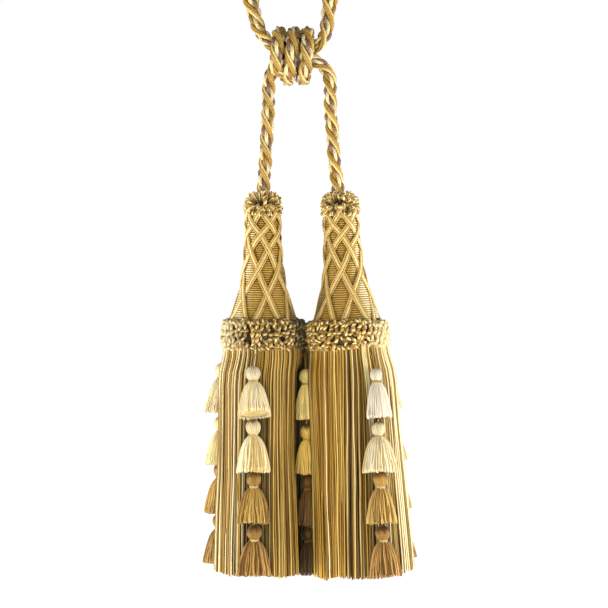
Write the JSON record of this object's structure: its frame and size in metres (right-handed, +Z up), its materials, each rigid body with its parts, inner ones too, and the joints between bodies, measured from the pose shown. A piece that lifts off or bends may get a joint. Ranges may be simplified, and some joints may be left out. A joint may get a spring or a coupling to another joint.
{
  "type": "curtain tieback tassel",
  "caption": "Double tassel tieback: a twisted rope loop cinched by a wound knot, with a netted head, string skirt and hanging small tassels on each end.",
  "frame": {"origin": "inner top of the rope's loop, where a wall hook bears", "axes": "+Z up along the hanging tieback, -Y the front, X across both tassels"},
  "size_m": [0.1529, 0.0897, 0.6523],
  "materials": {
    "rope_gold": "satin twisted rope",
    "ruff_loops": "dense looped cord",
    "head_winding": "fine wound cord",
    "net_gimp": "satin gimp cord",
    "skirt_strings": "glossy loose strings",
    "hanger_cord": "matt fine cord",
    "mini_ivory": "satin strings",
    "mini_cream": "satin strings",
    "mini_gold": "satin strings",
    "mini_tan": "satin strings"
  },
  "bodies": {
    "root": {"rope": "rope_gold", "knot_wrap": "rope_gold", "top_ruff_left": "ruff_loops", "head_left": "head_winding", "net_left": "net_gimp", "base_ruff_left": "ruff_loops", "skirt_left": "skirt_strings", "top_ruff_right": "ruff_loops", "head_right": "head_winding", "net_right": "net_gimp", "base_ruff_right": "ruff_loops", "skirt_right": "skirt_strings", "hanger_left_front": "hanger_cord", "mini_left_front_1": "mini_ivory", "mini_left_front_2": "mini_cream", "mini_left_front_3": "mini_gold", "mini_left_front_4": "mini_tan", "hanger_left_outer": "hanger_cord", "mini_left_outer_1": "mini_ivory", "mini_left_outer_2": "mini_cream", "mini_left_outer_3": "mini_gold", "mini_left_outer_4": "mini_tan", "hanger_left_inner": "hanger_cord", "mini_left_inner_1": "mini_ivory", "mini_left_inner_2": "mini_cream", "mini_left_inner_3": "mini_gold", "mini_left_inner_4": "mini_tan", "hanger_right_front": "hanger_cord", "mini_right_front_1": "mini_ivory", "mini_right_front_2": "mini_cream", "mini_right_front_3": "mini_gold", "mini_right_front_4": "mini_tan", "hanger_right_outer": "hanger_cord", "mini_right_outer_1": "mini_ivory", "mini_right_outer_2": "mini_cream", "mini_right_outer_3": "mini_gold", "mini_right_outer_4": "mini_tan", "hanger_right_rear": "hanger_cord", "mini_right_rear_1": "mini_ivory", "mini_right_rear_2": "mini_cream", "mini_right_rear_3": "mini_gold", "mini_right_rear_4": "mini_tan"}
  },
  "joints": []
}
